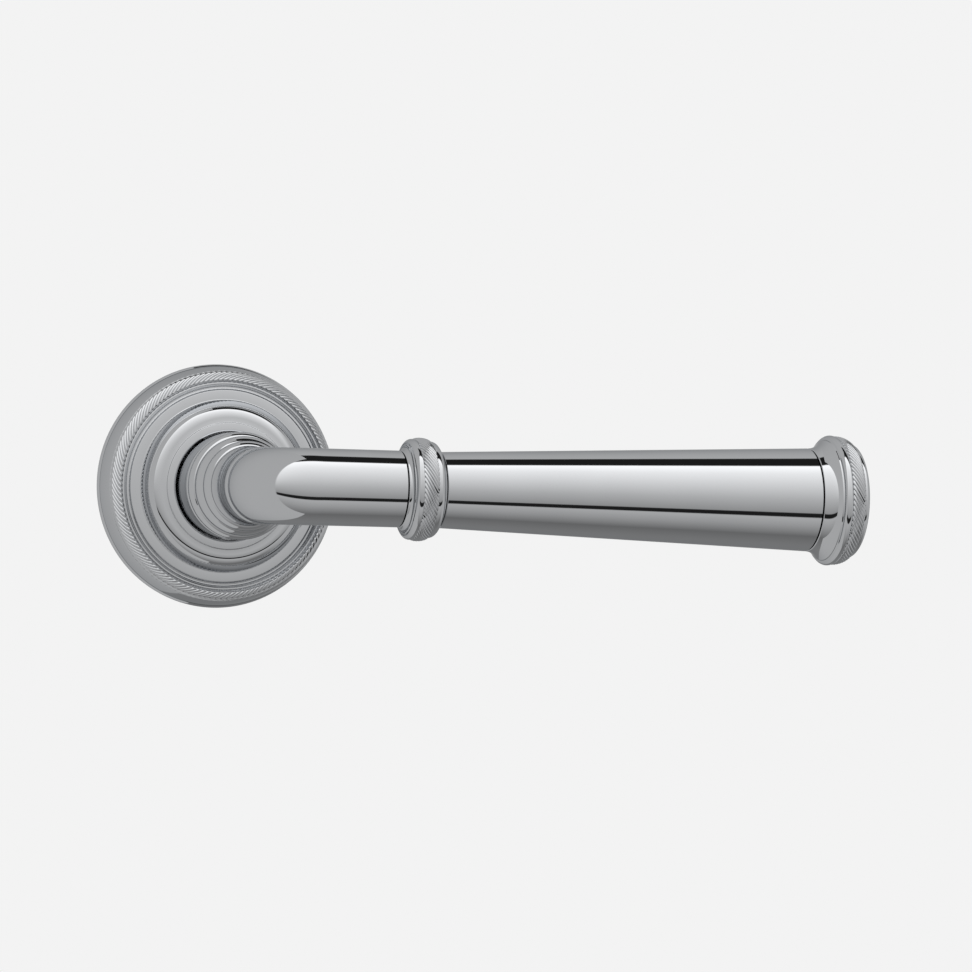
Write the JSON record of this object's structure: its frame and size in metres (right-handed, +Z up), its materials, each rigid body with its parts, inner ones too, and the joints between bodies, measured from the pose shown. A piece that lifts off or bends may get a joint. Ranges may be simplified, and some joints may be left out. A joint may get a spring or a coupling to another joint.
{
  "type": "door lever handle",
  "caption": "Polished chrome door lever handle on a round rose, with roped bands, a sprung lever on a square spindle, and fixings under a pull-off cover.",
  "frame": {"origin": "on the spindle's axis, at the door's face", "axes": "+X along the lever's grip, +Y into the door along the spindle, +Z up"},
  "size_m": [0.1566, 0.1198, 0.054],
  "materials": {
    "chrome": "polished chrome plate",
    "die_cast": "bare zinc die casting",
    "zinc_steel": "bright zinc-plated steel",
    "spring_steel": "oiled spring steel",
    "nylon": "natural nylon",
    "black_steel": "blackened steel",
    "rubber": "soft rubber"
  },
  "bodies": {
    "rose": {"mounting_plate": "die_cast", "bearing_bush": "nylon", "cover_ring": "rubber", "return_spring": "spring_steel", "rest_stop_pin": "zinc_steel", "end_stop_pin": "zinc_steel", "spring_anchor_pin": "zinc_steel", "through_bolt_1": "zinc_steel", "through_bolt_2": "zinc_steel", "wood_screw_1": "zinc_steel", "wood_screw_2": "zinc_steel"},
    "cover": {"rose_cover": "chrome"},
    "lever": {"lever_neck": "chrome", "collar_ring": "chrome", "grip_sleeve": "chrome", "end_ring": "chrome", "end_plug": "chrome", "grip_rod": "zinc_steel", "rod_nut": "zinc_steel", "rod_washer": "zinc_steel", "drive_cam": "zinc_steel", "wave_washer": "spring_steel", "circlip": "spring_steel", "spindle": "zinc_steel", "grub_screw": "black_steel"}
  },
  "joints": [
    {"name": "lever_turn", "type": "hinge", "parent": "rose", "child": "lever", "pos_m": [0, 0, 0], "axis": [0, 1, 0], "range_deg": [0, 50], "stiffness_Nm_per_rad": 0.6, "springref_deg": -60.16, "deforming": ["return_spring"]},
    {"name": "cover_slide", "type": "slide", "parent": "rose", "child": "cover", "axis": [0, -1, 0], "range_m": [0, 0.025]}
  ]
}
